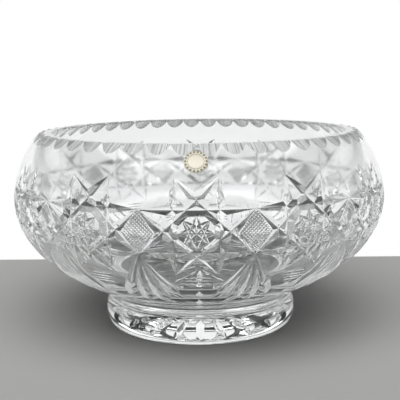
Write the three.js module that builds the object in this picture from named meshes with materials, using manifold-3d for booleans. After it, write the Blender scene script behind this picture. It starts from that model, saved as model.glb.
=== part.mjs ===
// Cut crystal bowl on a thick round foot, with a small foil seal on its shoulder.
// Millimetres, +Z up, standing on z = 0 with its axis on Z. The front star faces -Y.

import * as THREE from "three";
import { mergeVertices } from "three/addons/utils/BufferGeometryUtils.js";
import Module from "manifold-3d";

const wasm = await Module();
wasm.setup();

// Overall sizes
const bowlHeight = 118.5;
const bellyRadius = 112.5;
const bellyHeight = 79;
const rimRadius = 96;

// The wall's outline above and below the belly
const rimLean = THREE.MathUtils.degToRad(45);
const rimCurve = 18.5;
const shoulderCurve = 8;
const bellyCurve = 13.5;
const undersideCurve = 42;
const undersideSlope = THREE.MathUtils.degToRad(24);

// Neck between the bowl and its foot
const neckRadius = 55.5;
const neckFlare = 11;
const neckRise = 8.5;
const neckCurve = 4;

// Glass thickness
const rimWall = 5.2;
const undersideWall = 8;
const floorThickness = 11;

// Foot
const footHeight = 17.5;
const footRadius = 59.6;
const footWidestHeight = 7.5;
const footBulge = 1.8;
const footEdge = 1.4;
const baseRays = 16;
const baseRayStart = 5;
const baseRayEnd = 46;
const baseRayDepth = 1.3;

// Ornament: stars that share their side tips with the next star round
const repeats = 12;
const starHeight = 76.7;
const sideTipRise = 11.6;
const topTipRise = 28;
const bottomTipDrop = 24.5;
const tipSpread = 11.8;
const mitreDepth = 2.1;
const mitreAngle = THREE.MathUtils.degToRad(112);

// Fans: four flutes that spread down from each lower side tip. Each opens by a power of its length
// up to the share of it where it is widest
const innerFluteTurn = THREE.MathUtils.degToRad(3.4);
const innerFluteHeight = 32.7;
const outerFluteTurn = THREE.MathUtils.degToRad(9);
const outerFluteHeight = 36.2;
const fluteDepth = 1.5;
const fluteAngle = THREE.MathUtils.degToRad(142);
const fluteWidest = 0.62;
const fluteOpening = 0.8;

// Rim scallops
const scallops = 48;
const scallopDepth = 3;
const scallopHeight = 4.9;
const scallopReach = 40;

// Foil seal, its middle so far down the wall from the rim's edge
const sealRadius = 6;
const sealThickness = 0.3;
const sealGap = 0.25;
const sealDrop = 10.2;

// Cutting: how far a cutter stands clear of the wall, and the share of a cut that ramps in
const cutClearance = 3;
const cutRamp = 0.3;

// How finely round shapes and cuts are divided
const roundSegments = 48;
const neckSteps = 2;
const curveSteps = 4;
const insideSteps = 9;
const footSteps = 3;
const starSteps = 4;
const fluteSteps = 3;
const raySteps = 2;
const scallopSides = 24;
const sealSides = 24;

const repeatAngle = (2 * Math.PI) / repeats;

// Materials
function glassMaterial(colour, roughness) {
  return new THREE.MeshStandardMaterial({
    color: colour,
    roughness,
    metalness: 0,
    transparent: true,
    opacity: 0.4,
  });
}

const crystal = glassMaterial(0xe9eded, 0.03);
const footCrystal = glassMaterial(0xe4e8e8, 0.04);
const foil = new THREE.MeshStandardMaterial({ color: 0xe8dfc0, roughness: 0.35, metalness: 0.6 });

// Solids for cutting and joining
function solidOf(geometry) {
  const bare = geometry.clone();
  bare.deleteAttribute("normal");
  bare.deleteAttribute("uv");
  const merged = mergeVertices(bare, 1e-4);
  const vertProperties = merged.attributes.position.array;
  const triVerts = new Uint32Array(merged.index.array);
  return new wasm.Manifold(new wasm.Mesh({ numProp: 3, vertProperties, triVerts }));
}

function geometryOf(solid) {
  const mesh = solid.getMesh();
  const geometry = new THREE.BufferGeometry();
  geometry.setAttribute("position", new THREE.BufferAttribute(mesh.vertProperties, 3));
  geometry.setIndex(new THREE.BufferAttribute(mesh.triVerts, 1));
  geometry.computeVertexNormals();
  return geometry;
}

function lathe(points) {
  return new THREE.LatheGeometry(points, roundSegments).rotateX(Math.PI / 2);
}

// The wall's outline, from the neck up to the rim, as x = radius and y = height
const neckTop = new THREE.Vector2(neckRadius + neckFlare, footHeight + neckRise);
const outline = new THREE.Path()
  .moveTo(neckRadius, footHeight)
  .bezierCurveTo(
    neckRadius + neckCurve / 4,
    footHeight + neckCurve,
    neckTop.x - neckCurve * Math.cos(undersideSlope),
    neckTop.y - neckCurve * Math.sin(undersideSlope),
    neckTop.x,
    neckTop.y,
  )
  .bezierCurveTo(
    neckTop.x + undersideCurve * Math.cos(undersideSlope),
    neckTop.y + undersideCurve * Math.sin(undersideSlope),
    bellyRadius,
    bellyHeight - bellyCurve,
    bellyRadius,
    bellyHeight,
  )
  .bezierCurveTo(
    bellyRadius,
    bellyHeight + shoulderCurve,
    rimRadius + rimCurve * Math.sin(rimLean),
    bowlHeight - rimCurve * Math.cos(rimLean),
    rimRadius,
    bowlHeight,
  );
const outlineLength = outline.getLength();

// The inside of the wall, straight across the glass from a share of the outline
function insidePoint(share) {
  const point = outline.getPoint(share);
  const tangent = outline.getTangent(share);
  const wall = THREE.MathUtils.lerp(undersideWall, rimWall, share);
  return new THREE.Vector2(point.x - tangent.y * wall, point.y + tangent.x * wall);
}

// The share of the outline at which a rising curve reaches a height
function shareAtHeight(curve, height) {
  let low = 0;
  let high = 1;
  while (high - low > 1e-6) {
    const middle = (low + high) / 2;
    if (curve(middle).y < height) {
      low = middle;
    } else {
      high = middle;
    }
  }
  return low;
}

// The outline's point and its length so far at a height
function outlineAtHeight(height) {
  const share = shareAtHeight((value) => outline.getPoint(value), height);
  return { radius: outline.getPoint(share).x, length: share * outlineLength };
}

// A point on the wall, with the wall's outward direction there
function wallPoint(azimuth, length) {
  const share = THREE.MathUtils.clamp(length / outlineLength, 0, 1);
  const point = outline.getPoint(share);
  const tangent = outline.getTangent(share);
  const round = new THREE.Vector3(Math.sin(azimuth), -Math.cos(azimuth), 0);
  return {
    place: round.clone().multiplyScalar(point.x).setZ(point.y),
    outward: round.clone().multiplyScalar(tangent.y).setZ(-tangent.x),
  };
}

// A straight line on the unrolled wall, as a place for each share of its length
function wallLine(from, to) {
  return (share) =>
    wallPoint(
      THREE.MathUtils.lerp(from.azimuth, to.azimuth, share),
      THREE.MathUtils.lerp(from.length, to.length, share),
    );
}

// A cut's share of its full depth: straight ramps from its two points to an even middle stretch
function taper(share) {
  return Math.min(1, share / cutRamp, (1 - share) / cutRamp);
}

// A flute's share of its full depth: it opens quickly, then closes in a rounded end
function fluteTaper(share) {
  const opening = Math.max(0, Math.min(1, share / fluteWidest)) ** fluteOpening;
  const closing = Math.min(1, Math.max(0, (share - fluteWidest) / (1 - fluteWidest)));
  return opening * Math.sqrt(1 - closing ** 2);
}

// A cut ground with a V wheel along a line on a surface, with its share of full depth along it
function mitreCut(line, depth, angle, steps, depthShare) {
  const section = new THREE.Shape([
    new THREE.Vector2(0, 0),
    new THREE.Vector2(1, 1),
    new THREE.Vector2(-1, 1),
  ]);
  const cut = new THREE.ExtrudeGeometry(section, { depth: 1, steps, bevelEnabled: false });
  const places = cut.attributes.position;
  for (let i = 0; i < places.count; i++) {
    const share = places.getZ(i);
    const { place, outward } = line(share);
    const along = line(share + 1e-3).place.sub(line(share - 1e-3).place).normalize();
    const across = new THREE.Vector3().crossVectors(outward, along).normalize();
    const sunk = depth * depthShare(share);
    const height = sunk + cutClearance;
    place.addScaledVector(outward, places.getY(i) * height - sunk);
    place.addScaledVector(across, places.getX(i) * height * Math.tan(angle / 2));
    places.setXYZ(i, place.x, place.y, place.z);
  }
  return solidOf(cut);
}

// Star: eight mitres, each joining a tip to the third one round
function starCuts(azimuth) {
  const middle = outlineAtHeight(starHeight).length;
  const side = repeatAngle / 2;
  const near = tipSpread / bellyRadius;
  const tips = [
    { azimuth: azimuth - near, length: middle + topTipRise },
    { azimuth: azimuth + near, length: middle + topTipRise },
    { azimuth: azimuth + side, length: middle + sideTipRise },
    { azimuth: azimuth + side, length: middle - sideTipRise },
    { azimuth: azimuth + near, length: middle - bottomTipDrop },
    { azimuth: azimuth - near, length: middle - bottomTipDrop },
    { azimuth: azimuth - side, length: middle - sideTipRise },
    { azimuth: azimuth - side, length: middle + sideTipRise },
  ];
  return tips.map((tip, i) => {
    const line = wallLine(tip, tips[(i + 3) % tips.length]);
    return mitreCut(line, mitreDepth, mitreAngle, starSteps, taper);
  });
}

// Fan: two inner and two outer flutes
function fanCuts(azimuth) {
  const tip = { azimuth, length: outlineAtHeight(starHeight).length - sideTipRise };
  const inner = outlineAtHeight(innerFluteHeight).length;
  const outer = outlineAtHeight(outerFluteHeight).length;
  const ends = [
    { azimuth: azimuth - outerFluteTurn, length: outer },
    { azimuth: azimuth - innerFluteTurn, length: inner },
    { azimuth: azimuth + innerFluteTurn, length: inner },
    { azimuth: azimuth + outerFluteTurn, length: outer },
  ];
  return ends.map((end) => mitreCut(wallLine(tip, end), fluteDepth, fluteAngle, fluteSteps, fluteTaper));
}

// Scallop: a round flute that slants down and out through the rim's outer corner. It is just wide
// enough to meet the next one at the rim's edge.
function scallopCut(azimuth) {
  const topRadius = rimRadius - scallopDepth;
  const endRadius = outlineAtHeight(bowlHeight - scallopHeight).radius;
  const slant = Math.atan2(endRadius - topRadius, scallopHeight);
  const halfWidth = rimRadius * Math.sin(Math.PI / scallops);
  const sunk = scallopDepth * Math.cos(slant);
  const radius = (halfWidth ** 2 + sunk ** 2) / (2 * sunk);
  const round = new THREE.Vector3(Math.sin(azimuth), -Math.cos(azimuth), 0);
  const along = round.clone().multiplyScalar(Math.sin(slant)).setZ(-Math.cos(slant));
  const outward = round.clone().multiplyScalar(Math.cos(slant)).setZ(Math.sin(slant));
  const across = new THREE.Vector3().crossVectors(along, outward);
  const middle = round.clone().multiplyScalar(topRadius).setZ(bowlHeight);
  middle.addScaledVector(outward, radius);
  const cutter = new THREE.CylinderGeometry(radius, radius, scallopReach, scallopSides);
  cutter.applyMatrix4(new THREE.Matrix4().makeBasis(across, along, outward).setPosition(middle));
  return solidOf(cutter);
}

// Bowl: a lathed wall with a level floor and a level rim, then all the cuts
function bowlGeometry() {
  const [neck, ...sides] = outline.curves;
  const outside = neck.getPoints(neckSteps);
  sides.forEach((side) => outside.push(...side.getPoints(curveSteps).slice(1)));
  const floorShare = shareAtHeight(insidePoint, footHeight + floorThickness);
  const inside = [];
  for (let i = 0; i <= insideSteps; i++) {
    inside.push(insidePoint(THREE.MathUtils.lerp(1, floorShare, i / insideSteps)));
  }
  const lip = inside[0].x - (bowlHeight - inside[0].y) * Math.tan(rimLean);
  const profile = [
    new THREE.Vector2(0, footHeight),
    ...outside,
    new THREE.Vector2(lip, bowlHeight),
    ...inside,
    new THREE.Vector2(0, inside[insideSteps].y),
  ];
  let bowl = solidOf(lathe(profile));
  for (let i = 0; i < repeats; i++) {
    const azimuth = i * repeatAngle;
    starCuts(azimuth).forEach((cut) => (bowl = bowl.subtract(cut)));
    fanCuts(azimuth + repeatAngle / 2).forEach((cut) => (bowl = bowl.subtract(cut)));
  }
  for (let i = 0; i < scallops; i++) {
    bowl = bowl.subtract(scallopCut(((i + 0.5) * 2 * Math.PI) / scallops));
  }
  return geometryOf(bowl);
}

// Foot: a thick disc with a gently bulging side, rounded edges and a star cut under it
function footGeometry() {
  const edgeRadius = footRadius - footBulge;
  const side = new THREE.Path()
    .moveTo(edgeRadius - footEdge, 0)
    .quadraticCurveTo(edgeRadius, 0, edgeRadius, footEdge)
    .quadraticCurveTo(
      footRadius + footBulge,
      2 * footWidestHeight - footHeight / 2,
      edgeRadius,
      footHeight - footEdge,
    )
    .quadraticCurveTo(edgeRadius, footHeight, neckRadius, footHeight);
  const profile = [
    new THREE.Vector2(0, 0),
    ...side.getPoints(footSteps),
    new THREE.Vector2(0, footHeight),
  ];
  let foot = solidOf(lathe(profile));
  for (let i = 0; i < baseRays; i++) {
    const azimuth = (i * 2 * Math.PI) / baseRays;
    const ray = new THREE.Vector3(Math.sin(azimuth), -Math.cos(azimuth), 0);
    const line = (share) => ({
      place: ray.clone().multiplyScalar(THREE.MathUtils.lerp(baseRayStart, baseRayEnd, share)),
      outward: new THREE.Vector3(0, 0, -1),
    });
    foot = foot.subtract(mitreCut(line, baseRayDepth, mitreAngle, raySteps, taper));
  }
  return geometryOf(foot);
}

// Foil seal: a thin disc bent to the shoulder of the wall
function sealGeometry() {
  const length = outlineLength - sealDrop;
  const radius = -wallPoint(0, length).place.y;
  const disc = new THREE.LatheGeometry(
    [
      new THREE.Vector2(0, 0),
      new THREE.Vector2(sealRadius / 2, 0),
      new THREE.Vector2(sealRadius, 0),
      new THREE.Vector2(sealRadius, sealThickness),
      new THREE.Vector2(sealRadius / 2, sealThickness),
      new THREE.Vector2(0, sealThickness),
    ],
    sealSides,
  );
  const places = disc.attributes.position;
  for (let i = 0; i < places.count; i++) {
    const { place, outward } = wallPoint(places.getX(i) / radius, length - places.getZ(i));
    place.addScaledVector(outward, sealGap + places.getY(i));
    places.setXYZ(i, place.x, place.y, place.z);
  }
  return geometryOf(solidOf(disc));
}

function piece(name, geometry, material) {
  const mesh = new THREE.Mesh(geometry, material);
  mesh.name = name;
  return mesh;
}

const bowl = new THREE.Group();
bowl.add(piece("bowl_body", bowlGeometry(), crystal));
bowl.add(piece("foot", footGeometry(), footCrystal));
bowl.add(piece("foil_seal", sealGeometry(), foil));

export default bowl;
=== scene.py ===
# Footed bowl of clear cut crystal, dressed over its fixed frame: the bowl with its whole cut
# pattern, the thick foot with its star-cut base, the foil seal on the shoulder, and a plain stage.

import math

import bpy
import numpy as np
from bpy.props import FloatProperty, FloatVectorProperty, IntProperty, PointerProperty
from mathutils import Matrix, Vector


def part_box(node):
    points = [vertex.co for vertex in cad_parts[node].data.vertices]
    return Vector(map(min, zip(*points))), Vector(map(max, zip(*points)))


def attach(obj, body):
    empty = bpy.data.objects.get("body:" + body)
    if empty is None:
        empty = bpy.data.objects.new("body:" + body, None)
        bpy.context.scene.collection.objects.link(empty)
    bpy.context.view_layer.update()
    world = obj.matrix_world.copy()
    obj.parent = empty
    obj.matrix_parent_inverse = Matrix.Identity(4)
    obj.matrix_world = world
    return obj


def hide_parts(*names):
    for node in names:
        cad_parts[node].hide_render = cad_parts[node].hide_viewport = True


bl_info = {
    "name": "Cut Crystal Bowl",
    "version": (1, 0, 0),
    "blender": (4, 5, 0),
    "location": "3D View > Sidebar > Crystal Bowl",
    "description": "Builds a footed cut crystal bowl with its foil seal on a plain stage",
    "category": "Add Mesh",
}

# The fixed frame, and the sizes that come from it
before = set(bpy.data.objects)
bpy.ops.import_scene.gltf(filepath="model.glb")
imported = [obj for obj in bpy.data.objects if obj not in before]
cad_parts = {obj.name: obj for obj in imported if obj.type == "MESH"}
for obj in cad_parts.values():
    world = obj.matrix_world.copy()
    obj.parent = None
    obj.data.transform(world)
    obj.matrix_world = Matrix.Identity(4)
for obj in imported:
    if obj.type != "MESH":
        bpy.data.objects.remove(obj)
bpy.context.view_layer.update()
bowl_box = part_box("bowl_body")
foot_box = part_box("foot")
seal_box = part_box("foil_seal")
MM = 0.001
DEGREE = math.radians(1)
BOWL_HEIGHT = bowl_box[1].z
BELLY_RADIUS = bowl_box[1].x
FOOT_HEIGHT = foot_box[1].z
FOOT_RADIUS = foot_box[1].x
SEAL_RADIUS = seal_box[1].x


def length(name, description, millimetres):
    """A length that a user can change, given here in millimetres."""
    return FloatProperty(
        name=name, description=description, default=millimetres * MM, min=0.0, unit="LENGTH"
    )


def angle(name, description, degrees):
    """An angle that a user can change, given here in degrees."""
    return FloatProperty(
        name=name, description=description, default=math.radians(degrees), subtype="ANGLE"
    )


def count(name, description, number):
    """A count that a user can change."""
    return IntProperty(name=name, description=description, default=number, min=1)


def colour(name, description, value):
    """A colour that a user can change."""
    return FloatVectorProperty(
        name=name, description=description, default=value, size=3, min=0.0, max=1.0, subtype="COLOR"
    )


def share(name, description, value):
    """A number from nothing to one that a user can change."""
    return FloatProperty(
        name=name, description=description, default=value, min=0.0, max=1.0, subtype="FACTOR"
    )


class BowlShape(bpy.types.PropertyGroup):
    """The wall of the bowl, before it is cut."""

    belly_height: length("Belly height", "Height of the widest place", 79)
    belly_curve: length("Belly curve", "How far the wall runs upright below the widest place", 13.5)
    shoulder_curve: length("Shoulder curve", "How far the wall runs upright above it", 8)
    rim_radius: length("Rim radius", "Outer radius of the rim", 96)
    rim_curve: length("Rim curve", "How far the wall keeps the rim's lean", 18.5)
    rim_lean: angle("Rim lean", "How far the wall leans in at the rim, from upright", 45)
    underside_curve: length("Underside curve", "How far the underside keeps its slope", 42)
    underside_slope: angle("Underside slope", "Slope of the underside where it leaves the neck", 24)
    neck_radius: length("Neck radius", "Radius of the join between bowl and foot", 55.5)
    neck_flare: length("Neck flare", "How far the neck spreads outwards", 11)
    neck_rise: length("Neck rise", "How far the neck rises", 8.5)
    neck_curve: length("Neck curve", "How softly the neck turns into the underside", 4)
    rim_wall: length("Rim wall", "Thickness of the glass at the rim", 5.2)
    underside_wall: length("Underside wall", "Thickness of the glass above the neck", 8)
    floor: length("Floor", "Thickness of the glass above the join", 11)
    floor_blend: length("Floor blend", "How softly the inside turns into its floor", 16)
    lip_round: length("Lip round", "Softening of the rim's inner edge", 1.2)


class CutPattern(bpy.types.PropertyGroup):
    """The cuts in the bowl's wall and rim."""

    repeats: count("Stars", "Stars round the belly", 12)
    star_height: length("Star height", "Height of the stars' middles", 76.7)
    side_rise: length("Side tips", "How far the side tips lie above and below the middle", 11.6)
    top_rise: length("Top tips", "How far the top tips lie above the middle", 28)
    bottom_drop: length("Bottom tips", "How far the bottom tips lie below the middle", 24.5)
    tip_spread: length("Tip spread", "How far the top and bottom tips lie to each side", 11.8)
    mitre_depth: length("Mitre depth", "Depth of the stars' long cuts", 2.1)
    mitre_angle: angle("Mitre angle", "Angle between the two faces of a long cut", 112)
    inner_turn: angle("Inner flutes", "Turn from a fan's middle to the inner flutes' ends", 3.4)
    inner_height: length("Inner flute ends", "Height of the inner flutes' lower ends", 32.7)
    outer_turn: angle("Outer flutes", "Turn from a fan's middle to the outer flutes' ends", 9.0)
    outer_height: length("Outer flute ends", "Height of the outer flutes' lower ends", 36.2)
    flute_reach: length("Flute reach", "Half the width of a flute where it is widest", 4.3)
    flute_wheel: length("Flute wheel", "Radius of the hollow across a flute", 6)
    notches: count("Notches", "Short level cuts under each star", 4)
    notch_height: length("Notch height", "Height of the top one", 52)
    notch_pitch: length("Notch pitch", "Wall length from one to the next", 2.4)
    notch_reach: length("Notch reach", "Half the length of one", 8.5)
    notch_depth: length("Notch depth", "Depth of one", 0.6)
    scallops: count("Scallops", "Scallops round the rim", 48)
    scallop_depth: length("Scallop depth", "How far a scallop bites into the level rim", 3)
    scallop_height: length("Scallop height", "How far a scallop reaches down", 4.9)
    hatch_pitch: length("Hatch pitch", "Spacing of the crosshatched lines", 1.35)
    hatch_depth: length("Hatch depth", "Depth of the crosshatched lines", 0.5)
    hatch_angle: angle("Hatch angle", "Angle between the two faces of a crosshatched line", 80)
    small_star: length("Small star", "Radius of the small star inside each star", 9.2)
    small_depth: length("Small star depth", "Depth of its lines", 0.5)
    small_angle: angle("Fine angle", "Angle between the faces of the fine cuts", 100)


class FootShape(bpy.types.PropertyGroup):
    """The foot and the star cut under it."""

    widest_height: length("Widest height", "Height of the widest place", 7.5)
    bulge: length("Bulge", "How far the side bulges", 1.8)
    edge: length("Edge", "Rounding of the top and bottom edges", 1.4)
    rays: count("Rays", "Long cuts of the star under the foot", 16)
    ray_start: length("Ray start", "Radius at which a ray starts", 5)
    ray_end: length("Ray end", "Radius at which a ray ends", 46)
    ray_depth: length("Ray depth", "Depth of a ray", 1.3)


class SealShape(bpy.types.PropertyGroup):
    """The foil seal."""

    drop: length("Drop", "Wall length from the rim's edge to the seal's middle", 10.2)
    gap: length("Gap", "Adhesive between the glass and the foil", 0.25)
    thickness: length("Thickness", "Thickness of the foil", 0.3)
    beads: count("Beads", "Beads pressed round its edge", 18)
    bead_radius: length("Bead ring", "Radius of the ring of beads", 5.15)
    bead_height: length("Bead height", "How far a bead stands up", 0.14)


class Finish(bpy.types.PropertyGroup):
    """Colours and surfaces."""

    glass: colour("Glass", "Colour of the glass", (0.94, 0.95, 0.95))
    haze: share("Haze", "Roughness of the wall's inside near the rim", 0.09)
    haze_start: length("Haze start", "Height up to which the inside is clear", 82)
    haze_end: length("Haze end", "Height from which the inside is hazy", 98)
    frosted_roughness: share("Frosting", "Roughness of the scallops", 0.3)
    frosted_bloom: share("Frosting bloom", "Share of the light that the scallops scatter", 0.08)
    frosted_streaks: share("Frosting streaks", "Tone of the darkest streaks in the scallops", 0.36)
    foil: colour("Foil", "Colour of the foil", (0.85, 0.81, 0.68))
    # Painted shade: the darker colour painted into the foil's hollows, between its beads, in its
    # inner line and at its edge
    foil_painted_shade: colour("Foil shade", "Colour in the foil's hollows", (0.14, 0.12, 0.07))
    floor: colour("Floor", "Colour of the floor", (0.50, 0.50, 0.492))


class StagePlace(bpy.types.PropertyGroup):
    """Camera and floor."""

    distance: length("Distance", "From the bowl's axis to the camera", 472.5)
    height: length("Camera height", "Height of the camera", 156)
    turn: angle("Turn", "Turn of the camera round the bowl", 0.77)
    pitch: angle("Pitch", "How far the camera looks down", 9.855)
    yaw: angle("Yaw", "How far the camera looks to the right of the axis", 0.06)
    roll: angle("Roll", "Turn of the camera about its own axis", -0.69)
    lens: FloatProperty(
        name="Lens", description="Focal length in millimetres", default=68.9, min=10, unit="CAMERA"
    )
    floor_end: length("Floor end", "From the bowl's axis to the back edge of the floor", 146)
    floor_gap: length("Floor gap", "Air between the foot and the floor", 0.3)


# Curves and walls
def bezier(points, steps):
    """Places and directions along a cubic curve."""
    t = np.linspace(0, 1, steps + 1)[:, None]
    a, b, c, d = (np.array(point, float) for point in points)
    place = (1 - t) ** 3 * a + 3 * (1 - t) ** 2 * t * b + 3 * (1 - t) * t**2 * c + t**3 * d
    slope = 3 * ((1 - t) ** 2 * (b - a) + 2 * (1 - t) * t * (c - b) + t**2 * (d - c))
    return place, slope


def quadratic(a, b, c, steps):
    """Places along a curve with one handle."""
    t = np.linspace(0, 1, steps + 1)[:, None]
    a, b, c = (np.array(point, float) for point in (a, b, c))
    return (1 - t) ** 2 * a + 2 * (1 - t) * t * b + t**2 * c


def unit(vectors):
    """The vectors at a length of one."""
    return vectors / np.linalg.norm(vectors, axis=-1, keepdims=True)


class Wall:
    """The outside of the bowl's wall by its length from the neck, and the inside across the glass
    from it."""

    curve_steps = 500
    # How far the neck leans out where it starts, as a share of the neck's curve
    neck_lean = 0.25

    def __init__(self, shape):
        self.shape = shape
        neck_handle = shape.neck_radius + shape.neck_curve * self.neck_lean
        neck_top = np.array([shape.neck_radius + shape.neck_flare, FOOT_HEIGHT + shape.neck_rise])
        slope = np.array([math.cos(shape.underside_slope), math.sin(shape.underside_slope)])
        lean = np.array([math.sin(shape.rim_lean), -math.cos(shape.rim_lean)])
        rim = np.array([shape.rim_radius, BOWL_HEIGHT])
        curves = [
            (
                (shape.neck_radius, FOOT_HEIGHT),
                (neck_handle, FOOT_HEIGHT + shape.neck_curve),
                neck_top - slope * shape.neck_curve,
                neck_top,
            ),
            (
                neck_top,
                neck_top + slope * shape.underside_curve,
                (BELLY_RADIUS, shape.belly_height - shape.belly_curve),
                (BELLY_RADIUS, shape.belly_height),
            ),
            (
                (BELLY_RADIUS, shape.belly_height),
                (BELLY_RADIUS, shape.belly_height + shape.shoulder_curve),
                rim + lean * shape.rim_curve,
                rim,
            ),
        ]
        parts = [bezier(points, self.curve_steps) for points in curves]
        self.places = np.concatenate([parts[0][0]] + [part[0][1:] for part in parts[1:]])
        self.slopes = unit(np.concatenate([parts[0][1]] + [part[1][1:] for part in parts[1:]]))
        steps = np.linalg.norm(np.diff(self.places, axis=0), axis=1)
        self.lengths = np.concatenate([[0], np.cumsum(steps)])
        self.total = self.lengths[-1]

    def at(self, lengths):
        """Place and direction of the outline at these lengths."""
        place = np.stack([np.interp(lengths, self.lengths, self.places[:, i]) for i in (0, 1)], -1)
        slope = np.stack([np.interp(lengths, self.lengths, self.slopes[:, i]) for i in (0, 1)], -1)
        return place, unit(slope)

    def length_at(self, height):
        """Length of the outline up to a height."""
        return float(np.interp(height, self.places[:, 1], self.lengths))

    def surface(self, azimuths, lengths):
        """Places on the outside and the outward directions there. Azimuth 0 faces -Y."""
        place, slope = self.at(lengths)
        sine, cosine = np.sin(azimuths), np.cos(azimuths)
        places = np.stack([place[..., 0] * sine, -place[..., 0] * cosine, place[..., 1]], -1)
        outward = np.stack([slope[..., 1] * sine, -slope[..., 1] * cosine, -slope[..., 0]], -1)
        return places, outward

    def inside(self, lengths):
        """The inside of the glass, straight across from these lengths of the outline."""
        place, slope = self.at(lengths)
        walls = (self.shape.underside_wall, self.shape.rim_wall)
        thickness = np.interp(lengths / self.total, (0, 1), walls)
        return place + np.stack([-slope[:, 1], slope[:, 0]], -1) * thickness[:, None]


# Meshes
FLUTE_POINTS = 13
SHADING_BLOCK = 20000
TINY = 1e-9

# Corners of a turned profile, and edges of a cut, that stay sharp
SHARP_PROFILE, SHARP_CUT = 25 * DEGREE, 14 * DEGREE


def read(items, name, kind=np.int32, width=1):
    """One attribute of every item."""
    values = np.zeros(len(items) * width, kind)
    items.foreach_get(name, values)
    return values


def read_vectors(items, name):
    """One vector attribute of every item, as rows."""
    return read(items, name, np.float32, 3).reshape(-1, 3).astype(float)


def mesh_object(name, vertices, faces, materials):
    """A new object from plain lists."""
    mesh = bpy.data.meshes.new(name)
    mesh.from_pydata([tuple(v) for v in np.asarray(vertices).tolist()], [], faces)
    for material in materials:
        mesh.materials.append(material)
    mesh.update()
    piece = bpy.data.objects.new(name, mesh)
    bpy.context.scene.collection.objects.link(piece)
    return piece


def solid(name, vertices, faces, materials):
    """A new closed object, turned the right way out."""
    piece = mesh_object(name, vertices, faces, materials)
    mesh = piece.data
    mesh.calc_loop_triangles()
    places = read_vectors(mesh.vertices, "co")
    triangles = read(mesh.loop_triangles, "vertices", width=3).reshape(-1, 3)
    a, b, c = (places[triangles[:, i]] for i in range(3))
    if (a * np.cross(b, c)).sum() < 0:
        mesh.flip_normals()
    return piece


def shell_faces(rings, sides):
    """Faces of a closed shell: a middle, so many rings of so many sides, and the other middle."""
    last_ring = 1 + (rings - 1) * sides
    faces = []
    for j in range(sides):
        following = (j + 1) % sides
        faces.append((0, 1 + following, 1 + j))
        for low in range(1, last_ring, sides):
            high = low + sides
            faces.append((low + j, low + following, high + following, high + j))
        faces.append((last_ring + j, last_ring + following, last_ring + sides))
    return faces


def lathe(profile, segments):
    """Vertices and faces of a solid turned about Z, from a profile that starts and ends on the
    axis."""
    rings = profile[1:-1]
    turns = np.arange(segments) * 2 * math.pi / segments
    sine, cosine = np.sin(turns), np.cos(turns)
    around = [np.stack([r * sine, -r * cosine, np.full(segments, z)], -1) for r, z in rings]
    vertices = np.concatenate([[[0, 0, profile[0][1]]], *around, [[0, 0, profile[-1][1]]]])
    return vertices, shell_faces(len(rings), segments)


def joined(parts):
    """One list of vertices and faces from several."""
    vertices, faces, start = [], [], 0
    for part_vertices, part_faces in parts:
        vertices.append(part_vertices)
        faces.extend(tuple(start + i for i in face) for face in part_faces)
        start += len(part_vertices)
    return np.concatenate(vertices), faces


def prism(sections):
    """A closed solid through sections of the same number of corners, in order along it."""
    steps, corners = len(sections), len(sections[0])
    vertices = np.concatenate(sections)
    faces = [tuple(range(corners))[::-1]]
    for i in range(steps - 1):
        for j in range(corners):
            following = (j + 1) % corners
            near, far = i * corners, (i + 1) * corners
            faces.append((near + j, near + following, far + following, far + j))
    faces.append(tuple((steps - 1) * corners + j for j in range(corners)))
    return vertices, faces


def groove(places, outward, sunk, half_angle, proud):
    """A V-shaped cutter along places on a surface, sunk so far below it at each of them."""
    along = unit(np.gradient(places, axis=0))
    across = unit(np.cross(outward, along))
    rise = (sunk + proud)[:, None] * math.tan(half_angle)
    low = places - outward * sunk[:, None]
    high = places + outward * proud
    sections = np.stack([low, high + across * rise, high - across * rise], 1)
    return prism(list(sections))


def flute(places, outward, half_widths, wheel, proud):
    """A round-bottomed cutter along places on a surface, so wide to each side at each of them."""
    along = unit(np.gradient(places, axis=0))
    across = unit(np.cross(outward, along))
    sunk = half_widths**2 / (2 * wheel)
    reach = np.arccos(1 - (sunk + proud) / wheel)
    turns = reach[:, None] * np.linspace(1, -1, FLUTE_POINTS)
    side = (wheel * np.sin(turns))[..., None] * across[:, None]
    rise = (wheel * (1 - np.cos(turns)) - sunk[:, None])[..., None] * outward[:, None]
    return prism(list(places[:, None] + side + rise))


def pointed(steps, ramp):
    """Shares along a cut with straight points, and its share of full depth at each."""
    t = np.unique(np.concatenate([np.linspace(0, 1, steps + 1), [ramp, 1 - ramp]]))
    return t, np.minimum(1, np.minimum(t, 1 - t) / ramp)


def leaf(steps):
    """Shares along a leaf-shaped cut, and its share of full depth at each."""
    t = np.linspace(0, 1, steps + 1)
    return t, np.sin(math.pi * t)


def wall_groove(wall, start, end, form, depth, full_angle, proud):
    """A cutter along a straight line on the unrolled wall, from (azimuth, length) to the other."""
    t, deep = form
    azimuths = start[0] + (end[0] - start[0]) * t
    lengths = np.clip(start[1] + (end[1] - start[1]) * t, 0, wall.total)
    places, outward = wall.surface(azimuths, lengths)
    return groove(places, outward, deep * depth, full_angle / 2, proud)


def take_out(piece, cutters):
    """Takes the cutters out of a piece. Each leaves its own finish on the faces that it cut."""
    collection = bpy.data.collections.new("cutters")
    bpy.context.scene.collection.children.link(collection)
    for tool in cutters:
        bpy.context.scene.collection.objects.unlink(tool)
        collection.objects.link(tool)
    modifier = piece.modifiers.new("cuts", "BOOLEAN")
    modifier.operation = "DIFFERENCE"
    modifier.operand_type = "COLLECTION"
    modifier.collection = collection
    modifier.solver = "MANIFOLD"
    modifier.material_mode = "TRANSFER"
    whole = len(piece.data.polygons)
    bpy.context.view_layer.update()
    evaluated = piece.evaluated_get(bpy.context.evaluated_depsgraph_get())
    mesh = bpy.data.meshes.new_from_object(evaluated)
    piece.modifiers.clear()
    piece.data = mesh
    for tool in cutters:
        bpy.data.meshes.remove(tool.data)
    bpy.data.collections.remove(collection)
    if len(mesh.polygons) <= whole:
        raise RuntimeError(f"{piece.name} was not cut")


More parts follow.
